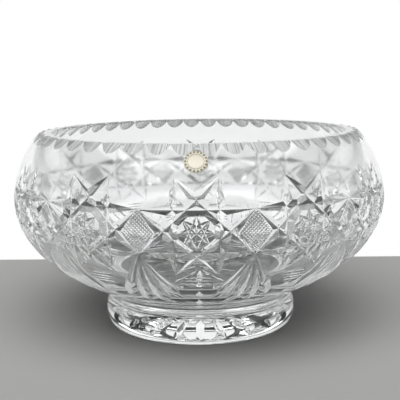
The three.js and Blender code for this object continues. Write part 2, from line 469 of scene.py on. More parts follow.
def profile_normals(profile):
    """The two end normals of each stretch of a turned profile, soft except at sharp corners."""
    steps = unit(np.diff(profile, axis=0))
    flat = np.stack([steps[:, 1], -steps[:, 0]], -1)
    starts, ends = flat.copy(), flat.copy()
    for i in range(1, len(flat)):
        if np.dot(flat[i - 1], flat[i]) > math.cos(SHARP_PROFILE):
            ends[i - 1] = starts[i] = unit(flat[i - 1] + flat[i])
    return starts, ends


def shade_soft(mesh, sharp):
    """Shades a mesh softly, except along edges past sharp."""
    mesh.polygons.foreach_set("use_smooth", np.ones(len(mesh.polygons), bool))
    mesh.set_sharp_from_angle(angle=sharp)


def shade_turned(piece, profile, turned):
    """Gives faces of the named finishes the true normals of the turned profile, and the cut faces
    soft normals within each cut."""
    mesh = piece.data
    shade_soft(mesh, SHARP_CUT)
    normals = read_vectors(mesh.corner_normals, "vector")
    places = read_vectors(mesh.vertices, "co")
    centres = read_vectors(mesh.polygons, "center")
    corners = read(mesh.loops, "vertex_index")
    totals = read(mesh.polygons, "loop_total")
    finishes = read(mesh.polygons, "material_index")
    wanted = [i for i, material in enumerate(mesh.materials) if material.name in turned]
    on_wall = np.isin(finishes, wanted)

    starts, ends = profile_normals(profile)
    a, b = profile[:-1], profile[1:]
    step = b - a
    size = (step**2).sum(1)
    middle = np.stack([np.hypot(centres[:, 0], centres[:, 1]), centres[:, 2]], -1)
    nearest = np.zeros(len(middle), np.int32)
    for first in range(0, len(middle), SHADING_BLOCK):
        block = middle[first : first + SHADING_BLOCK, None, :]
        t = np.clip(((block - a) * step).sum(-1) / size, 0, 1)
        distance = ((a + t[..., None] * step - block) ** 2).sum(-1)
        nearest[first : first + SHADING_BLOCK] = distance.argmin(1)

    face_of = np.repeat(np.arange(len(middle)), totals)
    chosen = on_wall[face_of]
    segment = nearest[face_of][chosen]
    spots = places[corners][chosen]
    radius = np.hypot(spots[:, 0], spots[:, 1])
    spot = np.stack([radius, spots[:, 2]], -1)
    t = np.clip(((spot - a[segment]) * step[segment]).sum(-1) / size[segment], 0, 1)[:, None]
    soft = unit(starts[segment] * (1 - t) + ends[segment] * t)
    round_way = spots[:, :2] / np.maximum(radius, TINY)[:, None]
    normals[chosen] = np.column_stack([round_way * soft[:, :1], soft[:, 1]])
    mesh.normals_split_custom_set([tuple(n) for n in unit(normals).tolist()])
    mesh.update()


# Node helpers
def new_material(name):
    """An empty node material and its output."""
    material = bpy.data.materials.new(name)
    material.use_nodes = True
    nodes = material.node_tree.nodes
    nodes.clear()
    return material, nodes, material.node_tree.links, nodes.new("ShaderNodeOutputMaterial")


def coordinate(nodes, space):
    """Places in the object's own metres, or directions in the world."""
    return nodes.new("ShaderNodeTexCoord").outputs[space]


def axes(nodes, links, vector):
    """The X, Y and Z of a vector."""
    split = nodes.new("ShaderNodeSeparateXYZ")
    links.new(vector, split.inputs["Vector"])
    return split.outputs


def math_node(nodes, links, operation, first, second):
    """An operation on two sockets, or on a socket and a number."""
    node = nodes.new("ShaderNodeMath")
    node.operation = operation
    links.new(first, node.inputs[0])
    if isinstance(second, bpy.types.NodeSocket):
        links.new(second, node.inputs[1])
    else:
        node.inputs[1].default_value = second
    return node.outputs["Value"]


def map_range(nodes, links, source, values, span=(0.0, 1.0), soft=False):
    """Goes from one of the values to the other over a span of the source."""
    step = nodes.new("ShaderNodeMapRange")
    step.interpolation_type = "SMOOTHSTEP" if soft else "LINEAR"
    step.inputs["From Min"].default_value, step.inputs["From Max"].default_value = span
    step.inputs["To Min"].default_value, step.inputs["To Max"].default_value = values
    links.new(source, step.inputs["Value"])
    return step.outputs["Result"]


def noise(nodes, links, scale, detail, stretch=(1, 1, 1)):
    """A noise in the object's own metres."""
    mapping = nodes.new("ShaderNodeMapping")
    mapping.inputs["Scale"].default_value = stretch
    texture = nodes.new("ShaderNodeTexNoise")
    texture.inputs["Scale"].default_value = scale
    texture.inputs["Detail"].default_value = detail
    links.new(coordinate(nodes, "Object"), mapping.inputs["Vector"])
    links.new(mapping.outputs["Vector"], texture.inputs["Vector"])
    return texture.outputs["Fac"]


def principled(nodes, links, output, sockets):
    """The main shader of a material, with these values in its sockets."""
    shader = nodes.new("ShaderNodeBsdfPrincipled")
    for socket, value in sockets.items():
        shader.inputs[socket].default_value = value
    links.new(shader.outputs["BSDF"], output.inputs["Surface"])
    return shader


def add_bump(nodes, links, shader, height, strength, depth):
    """Gives a shader a fine relief."""
    bump = nodes.new("ShaderNodeBump")
    bump.inputs["Strength"].default_value = strength
    bump.inputs["Distance"].default_value = depth
    links.new(height, bump.inputs["Height"])
    links.new(bump.outputs["Normal"], shader.inputs["Normal"])


# Finishes
GLASS_IOR = 1.545
WAVE_DEPTH = 0.1 * MM
WAVE_DETAIL = 2.0

# Roughness from least to most, strength of the unevenness in the polish, and its scale: the blown
# and fire-polished wall, the acid-polished cuts, and the finest cuts, a little less polished
WALL_POLISH = ((0.0, 0.012), 0.25, 60.0)
CUT_POLISH = ((0.0, 0.02), 0.3, 140.0)
FINE_POLISH = ((0.0, 0.04), 0.2, 300.0)

# Strength and scale of the unevenness inside the wall
INSIDE_WAVES = (0.25, 45.0)

# The wheel's streaks in the scallops: their scale and detail, the span of the noise over which
# their tone changes, and how far they move the roughness
STREAK_SCALE = 90.0
STREAK_DETAIL = 3.0
STREAK_SPAN = (0.35, 0.62)
STREAK_ROUGHNESS = (0.7, 1.3)

# Sockets of the colour mix, by number, because several share a name
MIX_FACTOR, MIX_A, MIX_B, MIX_RESULT = 0, 6, 7, 2


def glass_shader(nodes, links, output, finish, waviness, wave_scale):
    """Clear lead crystal with a little unevenness in its polish, and that unevenness."""
    sockets = {
        "Base Color": (*finish.glass, 1),
        "Transmission Weight": 1.0,
        "IOR": GLASS_IOR,
    }
    shader = principled(nodes, links, output, sockets)
    waves = noise(nodes, links, wave_scale, WAVE_DETAIL)
    add_bump(nodes, links, shader, waves, waviness, WAVE_DEPTH)
    return shader, waves


def polished_material(name, finish, roughness, waviness, wave_scale):
    """A polished face of the crystal."""
    material, nodes, links, output = new_material(name)
    shader, waves = glass_shader(nodes, links, output, finish, waviness, wave_scale)
    links.new(map_range(nodes, links, waves, roughness), shader.inputs["Roughness"])
    return material


def inside_material(finish):
    """The inside of the wall, clear below and hazier towards the rim."""
    material, nodes, links, output = new_material("crystal_inside")
    shader, _ = glass_shader(nodes, links, output, finish, *INSIDE_WAVES)
    height = axes(nodes, links, coordinate(nodes, "Object"))["Z"]
    span = (finish.haze_start, finish.haze_end)
    haze = map_range(nodes, links, height, (0.0, finish.haze), span, soft=True)
    links.new(haze, shader.inputs["Roughness"])
    return material


def frosted_material(finish):
    """The ground faces of the rim's scallops, with the streaks of the wheel."""
    material, nodes, links, output = new_material("crystal_frosted")
    sockets = {"Transmission Weight": 1.0 - finish.frosted_bloom, "IOR": GLASS_IOR}
    shader = principled(nodes, links, output, sockets)
    place = axes(nodes, links, coordinate(nodes, "Object"))
    azimuth = math_node(nodes, links, "ARCTAN2", place["X"], place["Y"])
    texture = nodes.new("ShaderNodeTexNoise")
    texture.noise_dimensions = "1D"
    texture.inputs["Scale"].default_value = STREAK_SCALE
    texture.inputs["Detail"].default_value = STREAK_DETAIL
    links.new(azimuth, texture.inputs["W"])
    streaks = texture.outputs["Fac"]
    tones = (finish.frosted_streaks, 1.0)
    tinted = nodes.new("ShaderNodeVectorMath")
    tinted.operation = "SCALE"
    tinted.inputs[0].default_value = finish.glass
    tone = map_range(nodes, links, streaks, tones, STREAK_SPAN, soft=True)
    links.new(tone, tinted.inputs["Scale"])
    links.new(tinted.outputs["Vector"], shader.inputs["Base Color"])
    roughness = [finish.frosted_roughness * part for part in STREAK_ROUGHNESS]
    links.new(map_range(nodes, links, streaks, roughness), shader.inputs["Roughness"])
    add_bump(nodes, links, shader, streaks, strength=0.7, depth=0.2 * MM)
    return material


def join_material():
    """The fused join between the bowl and its foot, which nothing shows of."""
    material, nodes, links, output = new_material("crystal_join")
    clear = nodes.new("ShaderNodeBsdfTransparent")
    links.new(clear.outputs["BSDF"], output.inputs["Surface"])
    return material


def foil_material(finish):
    """Satin pale gold foil with painted shade in its hollows, and fine rolling lines."""
    material, nodes, links, output = new_material("seal_foil")
    shader = principled(nodes, links, output, {"Metallic": 0.35})
    # Painted shade: the foil turns to its shade colour where this layer marks a hollow
    painted_hollow_shade = nodes.new("ShaderNodeVertexColor")
    painted_hollow_shade.layer_name = "painted_hollow_shade"
    mix = nodes.new("ShaderNodeMix")
    mix.data_type = "RGBA"
    mix.inputs[MIX_A].default_value = (*finish.foil, 1)
    mix.inputs[MIX_B].default_value = (*finish.foil_painted_shade, 1)
    links.new(painted_hollow_shade.outputs["Color"], mix.inputs[MIX_FACTOR])
    links.new(mix.outputs[MIX_RESULT], shader.inputs["Base Color"])
    grain = noise(nodes, links, scale=1500.0, detail=4.0, stretch=(1.0, 1.0, 0.25))
    links.new(map_range(nodes, links, grain, (0.28, 0.5)), shader.inputs["Roughness"])
    add_bump(nodes, links, shader, grain, strength=0.25, depth=0.05 * MM)
    return material


def floor_material(finish):
    """A plain pale floor with little gloss."""
    material, nodes, links, output = new_material("floor")
    sockets = {"Base Color": (*finish.floor, 1), "Roughness": 0.6, "Specular IOR Level": 0.2}
    principled(nodes, links, output, sockets)
    return material


# Bowl
ROUND_SEGMENTS = 240
OUTSIDE_RINGS, INSIDE_RINGS = 72, 80
LIP_STEPS, FLOOR_STEPS = 5, 10

# The star has eight tips, and a long cut runs from each to the third one on
STAR_TIPS, STAR_STEP = 8, 3

# Steps along a cut, and the share of its length over which it deepens
MITRE_FORM = (18, 0.3)
SMALL_STAR_FORM = (5, 0.12)
RAY_FORM = (8, 0.3)
NOTCH_STEPS = 10
FLUTE_STEPS = 20
HATCH_STEP = 2.5 * MM
SCALLOP_SIDES = 96

# How far each kind of cutter stands proud of the glass, and half the length of a scallop's cutter
MITRE_PROUD = 2 * MM
FLUTE_PROUD = 1 * MM
NOTCH_PROUD = 0.6 * MM
SMALL_STAR_PROUD = 0.3 * MM
HATCH_PROUD = 0.15 * MM
RAY_PROUD = 0.5 * MM
SCALLOP_REACH = 20 * MM

# Where along it a flute is widest, and how roundly it opens
FLUTE_WIDEST = 0.62
FLUTE_OPENING = 0.8

# The crosshatched field: how far it stays from a lozenge's upper and lower tips, how many widths
# of the mitres' sides it stays from the side tips, how far its lines run past it, and the
# shortest line in it, in pitches
FIELD_TIP_GAP = 0.8 * MM
FIELD_SIDE_GAP = 1.36
FIELD_OVERRUN = 0.45 * MM
FIELD_SHORTEST = 2
PARALLEL = 1e-12

# What counts as level with the join, as flat, and as facing up
LEVEL = 0.01 * MM
FLAT = 0.999
FACING_UP = 0.5

# The inside's place among the finishes of the uncut bowl
INSIDE_FINISH = 1


def bowl_profile(wall):
    """The turned profile of the uncut bowl, from the middle of its join up and back inside."""
    shape = wall.shape
    outside, _ = wall.at(np.linspace(0, wall.total, OUTSIDE_RINGS))
    inner = wall.inside(np.linspace(wall.total, 0, INSIDE_RINGS))
    floor = FOOT_HEIGHT + shape.floor
    lip = inner[0] + (BOWL_HEIGHT - inner[0][1]) * np.array([-math.tan(shape.rim_lean), 1])
    lip_start = lip + np.array([shape.lip_round, 0])
    lip_end = lip + unit(inner[1] - lip) * shape.lip_round
    rounded = quadratic(lip_start, lip, lip_end, LIP_STEPS)
    inner = inner[inner[:, 1] < rounded[-1][1] - shape.lip_round / 2]
    above = inner[inner[:, 1] > floor]
    meet = np.array([np.interp(floor, inner[::-1, 1], inner[::-1, 0]), floor])
    path = np.concatenate([above, [meet]])
    back = np.linalg.norm(path - meet, axis=1)
    kept = path[back > shape.floor_blend]
    blend = quadratic(kept[-1], meet, meet - np.array([shape.floor_blend, 0]), FLOOR_STEPS)
    ends = [[0, FOOT_HEIGHT]], [[0, floor]]
    return np.concatenate([ends[0], outside, rounded, kept, blend[1:], ends[1]])


def star_tips(wall, cuts):
    """The eight tips of a star, in order round it, as turn from its middle and wall length."""
    middle = wall.length_at(cuts.star_height)
    side = math.pi / cuts.repeats
    near = cuts.tip_spread / BELLY_RADIUS
    return [
        (-near, middle + cuts.top_rise),
        (near, middle + cuts.top_rise),
        (side, middle + cuts.side_rise),
        (side, middle - cuts.side_rise),
        (near, middle - cuts.bottom_drop),
        (-near, middle - cuts.bottom_drop),
        (-side, middle - cuts.side_rise),
        (-side, middle + cuts.side_rise),
    ]


def repeat_azimuths(cuts, offset=0.0):
    """The azimuth of each repeat of the pattern."""
    return [(i + offset) * 2 * math.pi / cuts.repeats for i in range(cuts.repeats)]


def cutter(name, parts, material):
    """One cutting object from several solids that don't touch."""
    return solid(name, *joined(parts), [material])


def line_cutter(wall, name, lines, azimuths, material, *cut):
    """One cutting object from straight lines on the unrolled wall, each at all these azimuths. A
    line has its two ends, as turn and wall length, and its form."""
    parts = [
        wall_groove(wall, (azimuth + start[0], start[1]), (azimuth + end[0], end[1]), form, *cut)
        for start, end, form in lines
        for azimuth in azimuths
    ]
    return cutter(name, parts, material)


def star_cutters(wall, cuts, material):
    """The stars' long mitres. Neighbouring stars share tips, so they are cut in turn."""
    made = []
    form = pointed(*MITRE_FORM)
    cut = (cuts.mitre_depth, cuts.mitre_angle, MITRE_PROUD)
    tips = star_tips(wall, cuts)
    for i, tip in enumerate(tips):
        lines = [(tip, tips[(i + STAR_STEP) % STAR_TIPS], form)]
        for parity in (0, 1):
            azimuths = repeat_azimuths(cuts)[parity::2]
            made.append(line_cutter(wall, f"mitre_{i}_{parity}", lines, azimuths, material, *cut))
    return made


def fan_cutters(wall, cuts, material):
    """Hollow flutes that fan out down the underside from each lower shared tip, four to a fan."""
    made = []
    t = np.sin(np.linspace(0, math.pi / 2, FLUTE_STEPS + 1))
    opening = np.minimum(t / FLUTE_WIDEST, 1) ** FLUTE_OPENING
    closing = np.sqrt(1 - np.clip((t - FLUTE_WIDEST) / (1 - FLUTE_WIDEST), 0, 1) ** 2)
    half_widths = cuts.flute_reach * opening * closing
    top = wall.length_at(cuts.star_height) - cuts.side_rise
    ends = (
        (-cuts.outer_turn, cuts.outer_height),
        (-cuts.inner_turn, cuts.inner_height),
        (cuts.inner_turn, cuts.inner_height),
        (cuts.outer_turn, cuts.outer_height),
    )
    for number, (turn, height) in enumerate(ends):
        lengths = top + (wall.length_at(height) - top) * t
        parts = []
        for azimuth in repeat_azimuths(cuts, 0.5):
            places, outward = wall.surface(azimuth + turn * t, lengths)
            parts.append(flute(places, outward, half_widths, cuts.flute_wheel, FLUTE_PROUD))
        made.append(cutter(f"flute_{number}", parts, material))
    return made


def notch_cutters(wall, cuts, material):
    """Short level cuts stacked under each star."""
    made = []
    form = leaf(NOTCH_STEPS)
    cut = (cuts.notch_depth, cuts.small_angle, NOTCH_PROUD)
    azimuths = repeat_azimuths(cuts)
    top = wall.length_at(cuts.notch_height)
    for i in range(cuts.notches):
        level = top - i * cuts.notch_pitch
        reach = cuts.notch_reach / wall.at(level)[0][0]
        lines = [((-reach, level), (reach, level), form)]
        made.append(line_cutter(wall, f"notch_{i}", lines, azimuths, material, *cut))
    return made


def small_star_cutters(wall, cuts, material):
    """The small engraved star in the field inside each star, with the four lines through its
    middle."""
    made = []
    form = pointed(*SMALL_STAR_FORM)
    cut = (cuts.small_depth, cuts.small_angle, SMALL_STAR_PROUD)
    azimuths = repeat_azimuths(cuts)
    middle = wall.length_at(cuts.star_height)

    def tip(number):
        way = number * 2 * math.pi / STAR_TIPS
        across, up = cuts.small_star * math.sin(way), cuts.small_star * math.cos(way)
        return (across / BELLY_RADIUS, middle + up)

    half = STAR_TIPS // 2
    ends = [(i, i + STAR_STEP) for i in range(STAR_TIPS)] + [(i, i + half) for i in range(half)]
    for i, (start, end) in enumerate(ends):
        lines = [(tip(start), tip(end), form)]
        made.append(line_cutter(wall, f"small_star_{i}", lines, azimuths, material, *cut))
    return made


def chord(corners, point, way):
    """Where a line through a point enters and leaves a shape without hollows, or None."""
    low, high = -math.inf, math.inf
    for i, corner in enumerate(corners):
        edge = corners[(i + 1) % len(corners)] - corner
        inward = np.array([-edge[1], edge[0]])
        speed, room = inward @ way, inward @ (point - corner)
        if abs(speed) < PARALLEL:
            if room < 0:
                return None
        elif speed > 0:
            low = max(low, -room / speed)
        else:
            high = min(high, -room / speed)
    return (low, high) if high > low else None


def hatch_cutters(wall, cuts, material):
    """Fine crossed lines in the lozenges between the stars, parallel to their sides."""
    middle = wall.length_at(cuts.star_height)
    side = math.pi / cuts.repeats * BELLY_RADIUS
    steep = (cuts.top_rise + cuts.side_rise) / (side + cuts.tip_spread)
    half_width = cuts.side_rise / steep
    edge = cuts.mitre_depth * math.tan(cuts.mitre_angle / 2)
    field = np.array(
        [
            [0, -cuts.side_rise + FIELD_TIP_GAP],
            [half_width - edge * FIELD_SIDE_GAP, 0],
            [0, cuts.side_rise - FIELD_TIP_GAP],
            [-half_width + edge * FIELD_SIDE_GAP, 0],
        ]
    )
    made = []
    cut = (cuts.hatch_depth, cuts.hatch_angle, HATCH_PROUD)
    azimuths = repeat_azimuths(cuts, 0.5)
    for hand in (-1, 1):
        way = unit(np.array([half_width, hand * cuts.side_rise]))
        step = np.array([-way[1], way[0]]) * cuts.hatch_pitch
        reach = int(half_width / cuts.hatch_pitch) + 1
        for parity in (0, 1):
            lines = []
            for i in range(-reach, reach + 1):
                if i % 2 != parity:
                    continue
                ends = chord(field, i * step, way)
                if ends is None or ends[1] - ends[0] < FIELD_SHORTEST * cuts.hatch_pitch:
                    continue
                start = i * step + way * (ends[0] - FIELD_OVERRUN)
                end = i * step + way * (ends[1] + FIELD_OVERRUN)
                steps = max(2, round((ends[1] - ends[0]) / HATCH_STEP))
                t = np.linspace(0, 1, steps + 1)
                near, far = ((x / BELLY_RADIUS, middle + y) for x, y in (start, end))
                lines.append((near, far, (t, np.ones_like(t))))
            name = f"hatch_{hand}_{parity}"
            made.append(line_cutter(wall, name, lines, azimuths, material, *cut))
    return made


def scallop_cutters(wall, cuts, material):
    """Round flutes that slant down and out through the rim's outer corner."""
    shape = wall.shape
    top_radius = shape.rim_radius - cuts.scallop_depth
    end_radius = wall.at(wall.length_at(BOWL_HEIGHT - cuts.scallop_height))[0][0]
    slant = math.atan2(end_radius - top_radius, cuts.scallop_height)
    half_width = shape.rim_radius * math.sin(math.pi / cuts.scallops)
    sunk = cuts.scallop_depth * math.cos(slant)
    radius = (half_width**2 + sunk**2) / (2 * sunk)
    turns = np.linspace(0, 2 * math.pi, SCALLOP_SIDES + 1)[:-1]
    upright = np.array([0, 0, 1.0])
    made = []
    for parity in (0, 1):
        parts = []
        for i in range(parity, cuts.scallops, 2):
            azimuth = (i + 0.5) * 2 * math.pi / cuts.scallops
            outwards = np.array([math.sin(azimuth), -math.cos(azimuth), 0])
            along = outwards * math.sin(slant) - upright * math.cos(slant)
            proud = outwards * math.cos(slant) + upright * math.sin(slant)
            across = np.cross(along, proud)
            middle = outwards * top_radius + upright * BOWL_HEIGHT + proud * radius
            ring = np.outer(np.cos(turns), across) + np.outer(np.sin(turns), proud)
            near, far = middle - along * SCALLOP_REACH, middle + along * SCALLOP_REACH
            parts.append(prism([near + ring * radius, far + ring * radius]))
        made.append(cutter(f"scallop_{parity}", parts, material))
    return made


def mark_join(piece, level, material):
    """Gives the flat face where bowl and foot are fused its own finish."""
    mesh = piece.data
    mesh.materials.append(material)
    index = len(mesh.materials) - 1
    for face in mesh.polygons:
        if abs(face.center.z - level) < LEVEL and abs(face.normal.z) > FLAT:
            face.material_index = index


def mark_inside(piece):
    """Gives the inside of the uncut bowl its own finish, from the lip down to the floor."""
    for face in piece.data.polygons:
        inward = face.center.x * face.normal.x + face.center.y * face.normal.y < 0
        floor = face.normal.z > FACING_UP and face.center.z < BOWL_HEIGHT / 2
        if (inward or floor) and FOOT_HEIGHT + MM < face.center.z < BOWL_HEIGHT - MM:
            face.material_index = INSIDE_FINISH


class OBJECT_OT_cut_bowl(bpy.types.Operator):
    """Builds the bowl with its stars, fans, lozenges and scallops"""

    bl_idname = "crystal_bowl.cut_bowl"
    bl_label = "Cut Bowl"

    def execute(self, context):
        scene = context.scene
        finish, cuts = scene.crystal_finish, scene.crystal_cuts
        wall = Wall(scene.crystal_shape)
        profile = bowl_profile(wall)
        polished = polished_material("crystal_polished", finish, *WALL_POLISH)
        inside = inside_material(finish)
        cut = polished_material("crystal_cut", finish, *CUT_POLISH)
        fine = polished_material("crystal_fine_cut", finish, *FINE_POLISH)
        frosted = frosted_material(finish)
        bowl = solid("crystal_bowl", *lathe(profile, ROUND_SEGMENTS), [polished, inside])
        cutters = [
            *star_cutters(wall, cuts, cut),
            *fan_cutters(wall, cuts, cut),
            *notch_cutters(wall, cuts, cut),
            *small_star_cutters(wall, cuts, fine),
            *hatch_cutters(wall, cuts, fine),
            *scallop_cutters(wall, cuts, frosted),
        ]
        mark_inside(bowl)
        take_out(bowl, cutters)
        shade_turned(bowl, profile, {polished.name, inside.name})
        mark_join(bowl, FOOT_HEIGHT, join_material())
        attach(bowl, "root")
        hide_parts("bowl_body")
        return {"FINISHED"}


# Foot
EDGE_STEPS, SIDE_STEPS, TOP_STEPS = 6, 18, 8


def foot_profile(foot, neck_radius):
    """The turned profile of the foot, from the middle of its base up to its join."""
    edge_radius = FOOT_RADIUS - foot.bulge
    bulged = (FOOT_RADIUS + foot.bulge, 2 * foot.widest_height - FOOT_HEIGHT / 2)
    base = quadratic(
        (edge_radius - foot.edge, 0), (edge_radius, 0), (edge_radius, foot.edge), EDGE_STEPS
    )
    side = quadratic(base[-1], bulged, (edge_radius, FOOT_HEIGHT - foot.edge), SIDE_STEPS)
    top = quadratic(side[-1], (edge_radius, FOOT_HEIGHT), (neck_radius, FOOT_HEIGHT), TOP_STEPS)
    return np.concatenate([[[0, 0]], base, side[1:], top[1:], [[0, FOOT_HEIGHT]]])


def ray_cutters(foot, cuts, material):
    """The long cuts of the star under the foot."""
    t, deep = pointed(*RAY_FORM)
    down = np.tile([0, 0, -1.0], (len(t), 1))
    radii = foot.ray_start + (foot.ray_end - foot.ray_start) * t
    made = []
    for i in range(foot.rays):
        azimuth = i * 2 * math.pi / foot.rays
        across, along = radii * math.sin(azimuth), -radii * math.cos(azimuth)
        places = np.stack([across, along, np.zeros(len(t))], -1)
        part = groove(places, down, deep * foot.ray_depth, cuts.mitre_angle / 2, RAY_PROUD)
        made.append(cutter(f"base_ray_{i}", [part], material))
    return made


class OBJECT_OT_foot(bpy.types.Operator):
    """Builds the thick foot with the star cut under it"""

    bl_idname = "crystal_bowl.foot"
    bl_label = "Foot"

    def execute(self, context):
        scene = context.scene
        shape = scene.crystal_foot
        profile = foot_profile(shape, scene.crystal_shape.neck_radius)
        polished = bpy.data.materials["crystal_polished"]
        cut = bpy.data.materials["crystal_cut"]
        foot = solid("crystal_foot", *lathe(profile, ROUND_SEGMENTS), [polished])
        take_out(foot, ray_cutters(shape, scene.crystal_cuts, cut))
        shade_turned(foot, profile, {polished.name})
        mark_join(foot, FOOT_HEIGHT, bpy.data.materials["crystal_join"])
        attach(foot, "root")
        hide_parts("foot")
        return {"FINISHED"}


# Seal
# Rings of the foil as shares of its radius (first, last, how many): few in its plain middle, and
# many in its relief
PLAIN_RINGS = (0, 0.62, 6)
RELIEF_RINGS = (0.65, 1, 26)
SIDES_TO_A_BEAD = 8
SHARP_FOIL = 50 * DEGREE

# The relief pressed into the foil: the rise of its middle, the width of the beads, the line
# inside them and the rolled edge, and how far its face starts below the foil's full thickness
DOME_RISE = 0.08 * MM
BEAD_WIDTH = 0.5 * MM
LINE_INSET, LINE_WIDTH, LINE_DEPTH = 1.1 * MM, 0.14 * MM, 0.08 * MM
EDGE_WIDTH, EDGE_DEPTH = 0.3 * MM, 0.12 * MM
FACE_DROP = 0.1 * MM

# How dark the painted shade is between the beads, in the line and at the edge
BEAD_PAINTED_SHADE, LINE_PAINTED_SHADE, EDGE_PAINTED_SHADE = 1.3, 0.8, 0.4


def ridge(distance, width):
    """One along a soft ridge, and nothing away from it."""
    return np.exp(-((distance / width) ** 2))


def seal_height(seal, radius, turn):
    """How far the foil's face stands up at a radius and a turn, and how much shade is painted
    there.
    """
    beads = np.cos(turn * seal.beads) * 0.5 + 0.5
    ring = ridge(radius - seal.bead_radius, BEAD_WIDTH)
    line = ridge(radius - seal.bead_radius + LINE_INSET, LINE_WIDTH)
    edge = ridge(radius - SEAL_RADIUS, EDGE_WIDTH)
    dome = DOME_RISE * (1 - (radius / SEAL_RADIUS) ** 2)
    rise = dome + seal.bead_height * ring * beads - LINE_DEPTH * line - EDGE_DEPTH * edge
    # Painted shade, darkest between the beads, in the line and at the edge
    painted_hollow_shade = ring * (1 - beads) * BEAD_PAINTED_SHADE + line * LINE_PAINTED_SHADE + edge * EDGE_PAINTED_SHADE
    return rise, np.clip(painted_hollow_shade, 0, 1)


class OBJECT_OT_foil_seal(bpy.types.Operator):
    """Builds the round foil seal, bent to the bowl's shoulder"""

    bl_idname = "crystal_bowl.foil_seal"
    bl_label = "Foil Seal"

    def execute(self, context):
        scene = context.scene
        seal = scene.crystal_seal
        wall = Wall(scene.crystal_shape)
        middle = wall.total - seal.drop
        shares = [np.linspace(*PLAIN_RINGS)[1:], np.linspace(*RELIEF_RINGS)]
        rings = np.concatenate(shares) * SEAL_RADIUS
        sides = seal.beads * SIDES_TO_A_BEAD
        turns = np.arange(sides) * 2 * math.pi / sides
        radius, turn = np.meshgrid(rings, turns, indexing="ij")
        rise, painted_hollow_shade = seal_height(seal, radius, turn)
        base_radius = wall.at(middle)[0][0]
        across, up = radius * np.sin(turn), radius * np.cos(turn)
        places, outward = wall.surface(across / base_radius, middle + up)
        face = places + outward * (seal.gap + seal.thickness - FACE_DROP + rise)[..., None]
        back = places + outward * seal.gap
        centre, centre_out = wall.surface(np.array([0.0]), np.array([middle]))
        top = centre + centre_out * (seal.gap + seal.thickness)
        bottom = centre + centre_out * seal.gap
        vertices = np.concatenate([top, face.reshape(-1, 3), back[-1], bottom])
        faces = shell_faces(len(rings) + 1, sides)
        piece = solid("seal_disc", vertices, faces, [foil_material(scene.crystal_finish)])
        # The painted shade is stored in a colour layer that the foil's material reads
        layer = piece.data.color_attributes.new("painted_hollow_shade", "FLOAT_COLOR", "POINT")
        painted_shades = np.concatenate([[0], painted_hollow_shade.reshape(-1), np.zeros(sides + 1)])
        painted_shade_colours = np.column_stack([painted_shades, painted_shades, painted_shades, np.ones(len(painted_shades))])
        layer.data.foreach_set("color", painted_shade_colours.ravel())
        shade_soft(piece.data, SHARP_FOIL)
        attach(piece, "root")
        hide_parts("foil_seal")
        return {"FINISHED"}


# Stage
# What glass shows of the studio: heights above the horizon in degrees, and the tone at each
GLASS_BANDS = (
    (-90, 1.0),
    (10, 1.0),
    (12, 0.1),
    (18, 0.1),
    (20, 1.0),
    (27, 1.0),
    (29, 0.03),
    (47, 0.03),
    (50, 2.8),
    (57, 2.8),
    (60, 0.03),
)

# The plain soft light above the bowl: its tilt to the front in degrees, how far its soft edge lies
# from its middle in degrees, outside and inside, and how strong the light is outside and inside it
OVERHEAD_TILT = 28
OVERHEAD_EDGE = (40, 15)
OVERHEAD_LIGHT = (0.05, 3.0)

# The soft box: its place and size in metres, and its power in watts
KEY_PLACE = (-0.7, -0.9, 1.3)
KEY_SIZE = (0.7, 0.7)
KEY_POWER = 2.5

# Half the floor's width, and its front edge
FLOOR_REACH, FLOOR_FRONT = 1.5, -2.2

SENSOR_WIDTH = 36.0
CLIP_START = 10 * MM
LIGHT_BOUNCES = 32


def background(nodes, links, tone=None, strength=None):
    """A white background of strength one, or one with a linked tone or strength."""
    light = nodes.new("ShaderNodeBackground")
    light.inputs["Color"].default_value = (1, 1, 1, 1)
    for socket, source in (("Color", tone), ("Strength", strength)):
        if source is not None:
            links.new(source, light.inputs[socket])
    return light.outputs["Background"]


def choose(nodes, links, factor, otherwise, chosen):
    """The chosen shader where the factor is one, and the other one elsewhere."""
    mix = nodes.new("ShaderNodeMixShader")
    for socket, source in zip(mix.inputs, (factor, otherwise, chosen)):
        links.new(source, socket)
    return mix.outputs["Shader"]


